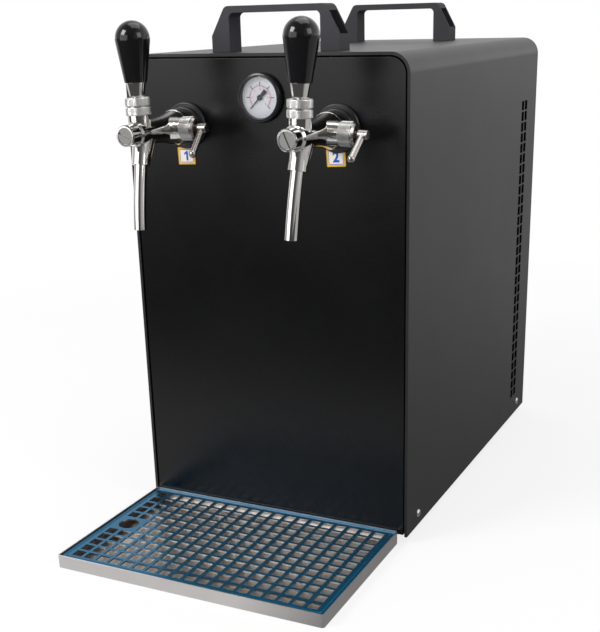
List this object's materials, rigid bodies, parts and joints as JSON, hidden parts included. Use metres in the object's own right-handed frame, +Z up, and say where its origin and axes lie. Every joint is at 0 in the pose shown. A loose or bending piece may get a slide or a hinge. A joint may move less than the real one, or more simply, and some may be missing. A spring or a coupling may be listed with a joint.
{
  "type": "dry beer cooler",
  "caption": "Counter-top dry beer cooler: black sheet casing with carry handles, chrome taps with tilting handles, pressure gauge and a loose drip tray with a blue grid.",
  "frame": {"origin": "bottom centre of the box around the whole object, on the counter", "axes": "+Z up, the taps and the tray face -Y, +X to the right as seen by the person who pours"},
  "size_m": [0.324, 0.6804, 0.553],
  "materials": {
    "casing_coat": "satin black powder coat",
    "pan_steel": "galvanised",
    "foot_rubber": "matte",
    "handle_plastic": "fine grain",
    "screw_steel": "zinc plated",
    "tap_black": "satin",
    "shank_metal": "black oxide",
    "tap_chrome": "polished",
    "ring_chrome": "satin with knurl",
    "plug_metal": "turned",
    "stem_steel": "turned",
    "knob_gloss": "gloss black",
    "plunger_plastic": "smooth",
    "bezel_plastic": "semi-gloss",
    "dial_white": "matte white",
    "needle_black": "matte",
    "lens_clear": "clear",
    "tray_steel": "brushed",
    "grid_blue": "semi-gloss blue",
    "fitting_plastic": "moulded",
    "control_plastic": "moulded",
    "rocker_red": "smooth",
    "thermostat_case": "moulded",
    "block_aluminium": "cast",
    "jacket_foam": "rigid foam",
    "compressor_coat": "gloss black",
    "coil_aluminium": "fins",
    "frame_steel": "galvanised",
    "pump_metal": "cast",
    "line_plastic": "tube",
    "pipe_copper": "copper"
  },
  "bodies": {
    "casing": {"base_pan": "pan_steel", "wrap_cover": "casing_coat", "front_panel": "casing_coat", "rear_panel": "casing_coat", "rubber_feet": "foot_rubber", "carry_handle_front": "handle_plastic", "carry_handle_rear": "handle_plastic", "handle_screws": "screw_steel", "casing_screws": "screw_steel", "shank_nuts": "screw_steel", "tap_flange_left": "tap_black", "tap_shank_left": "shank_metal", "tap_body_left": "tap_chrome", "tap_plug_left": "plug_metal", "tap_spout_left": "tap_chrome", "bonnet_nut_left": "ring_chrome", "bonnet_ring_left": "ring_chrome", "gland_nut_left": "tap_chrome", "tap_flange_right": "tap_black", "tap_shank_right": "shank_metal", "tap_body_right": "tap_chrome", "tap_plug_right": "plug_metal", "tap_spout_right": "tap_chrome", "bonnet_nut_right": "ring_chrome", "bonnet_ring_right": "ring_chrome", "gland_nut_right": "tap_chrome", "gauge_case": "bezel_plastic", "gauge_dial": "dial_white", "gauge_lens": "lens_clear", "line_unions": "fitting_plastic", "thermostat": "thermostat_case", "switch_frame": "control_plastic", "mains_inlet": "control_plastic", "cold_block": "block_aluminium", "foam_jacket": "jacket_foam", "compressor": "compressor_coat", "condenser": "coil_aluminium", "fan_frame": "frame_steel", "air_pump": "pump_metal", "beer_lines": "line_plastic", "service_pipes": "pipe_copper"},
    "tap_handle_left": {"lever_stem_left": "stem_steel", "ferrule_left": "tap_chrome", "tap_knob_left": "knob_gloss"},
    "plunger_left": {"valve_plunger_left": "plunger_plastic"},
    "flow_control_left": {"flow_lever_left": "tap_chrome"},
    "tap_handle_right": {"lever_stem_right": "stem_steel", "ferrule_right": "tap_chrome", "tap_knob_right": "knob_gloss"},
    "plunger_right": {"valve_plunger_right": "plunger_plastic"},
    "flow_control_right": {"flow_lever_right": "tap_chrome"},
    "needle": {"gauge_needle": "needle_black"},
    "tray": {"drip_tray": "tray_steel"},
    "grid": {"drip_grid": "grid_blue"},
    "fan": {"fan_blades": "control_plastic"},
    "thermostat_dial": {"thermostat_knob": "control_plastic"},
    "rocker": {"mains_rocker": "rocker_red"},
    "collet_left": {"beer_collet_left": "fitting_plastic"},
    "collet_gas": {"gas_collet": "fitting_plastic"},
    "collet_right": {"beer_collet_right": "fitting_plastic"}
  },
  "joints": [
    {"name": "tap_tilt_left", "type": "hinge", "parent": "casing", "child": "tap_handle_left", "pos_m": [-0.08904, -0.2328, 0.46398], "axis": [0.9994, 0, 0.0349], "range_deg": [-8, 22]},
    {"name": "plunger_slide_left", "type": "slide", "parent": "casing", "child": "plunger_left", "axis": [0, 1, 0], "range_m": [-0.0034, 0.009]},
    {"name": "flow_turn_left", "type": "hinge", "parent": "casing", "child": "flow_control_left", "pos_m": [-0.0881, -0.1878, 0.437], "axis": [0.9994, 0, 0.0349], "range_deg": [-76, 44]},
    {"name": "tap_tilt_right", "type": "hinge", "parent": "casing", "child": "tap_handle_right", "pos_m": [0.08584, -0.2328, 0.46398], "axis": [0.9994, 0, -0.0349], "range_deg": [-8, 22]},
    {"name": "plunger_slide_right", "type": "slide", "parent": "casing", "child": "plunger_right", "axis": [0, 1, 0], "range_m": [-0.0034, 0.009]},
    {"name": "flow_turn_right", "type": "hinge", "parent": "casing", "child": "flow_control_right", "pos_m": [0.0849, -0.1878, 0.437], "axis": [0.9994, 0, -0.0349], "range_deg": [-67, 53]},
    {"name": "needle_turn", "type": "hinge", "parent": "casing", "child": "needle", "pos_m": [0.001, -0.1498, 0.4655], "axis": [0, 1, 0], "range_deg": [0, 270]},
    {"name": "tray_pull", "type": "slide", "parent": "casing", "child": "tray", "axis": [0, -1, 0], "range_m": [0, 0.2]},
    {"name": "grid_lift", "type": "slide", "parent": "tray", "child": "grid", "axis": [0, 0, 1], "range_m": [0, 0.1]},
    {"name": "fan_spin", "type": "hinge", "parent": "casing", "child": "fan", "pos_m": [0, 0.2402, 0.127], "axis": [0, 1, 0], "continuous": true},
    {"name": "thermostat_turn", "type": "hinge", "parent": "casing", "child": "thermostat_dial", "pos_m": [0.105, 0.3282, 0.438], "axis": [0, -1, 0], "range_deg": [0, 270]},
    {"name": "mains_tip", "type": "hinge", "parent": "casing", "child": "rocker", "pos_m": [-0.105, 0.3172, 0.438], "axis": [1, 0, 0], "range_deg": [0, 16]},
    {"name": "collet_press_left", "type": "slide", "parent": "casing", "child": "collet_left", "axis": [0, -1, 0], "range_m": [0, 0.0012]},
    {"name": "collet_press_gas", "type": "slide", "parent": "casing", "child": "collet_gas", "axis": [0, -1, 0], "range_m": [0, 0.0012]},
    {"name": "collet_press_right", "type": "slide", "parent": "casing", "child": "collet_right", "axis": [0, -1, 0], "range_m": [0, 0.0012]}
  ],
  "couplings": [
    {"joint": "plunger_slide_left", "follows": "tap_tilt_left", "m_per_rad": 0.0228},
    {"joint": "plunger_slide_right", "follows": "tap_tilt_right", "m_per_rad": 0.0228}
  ]
}
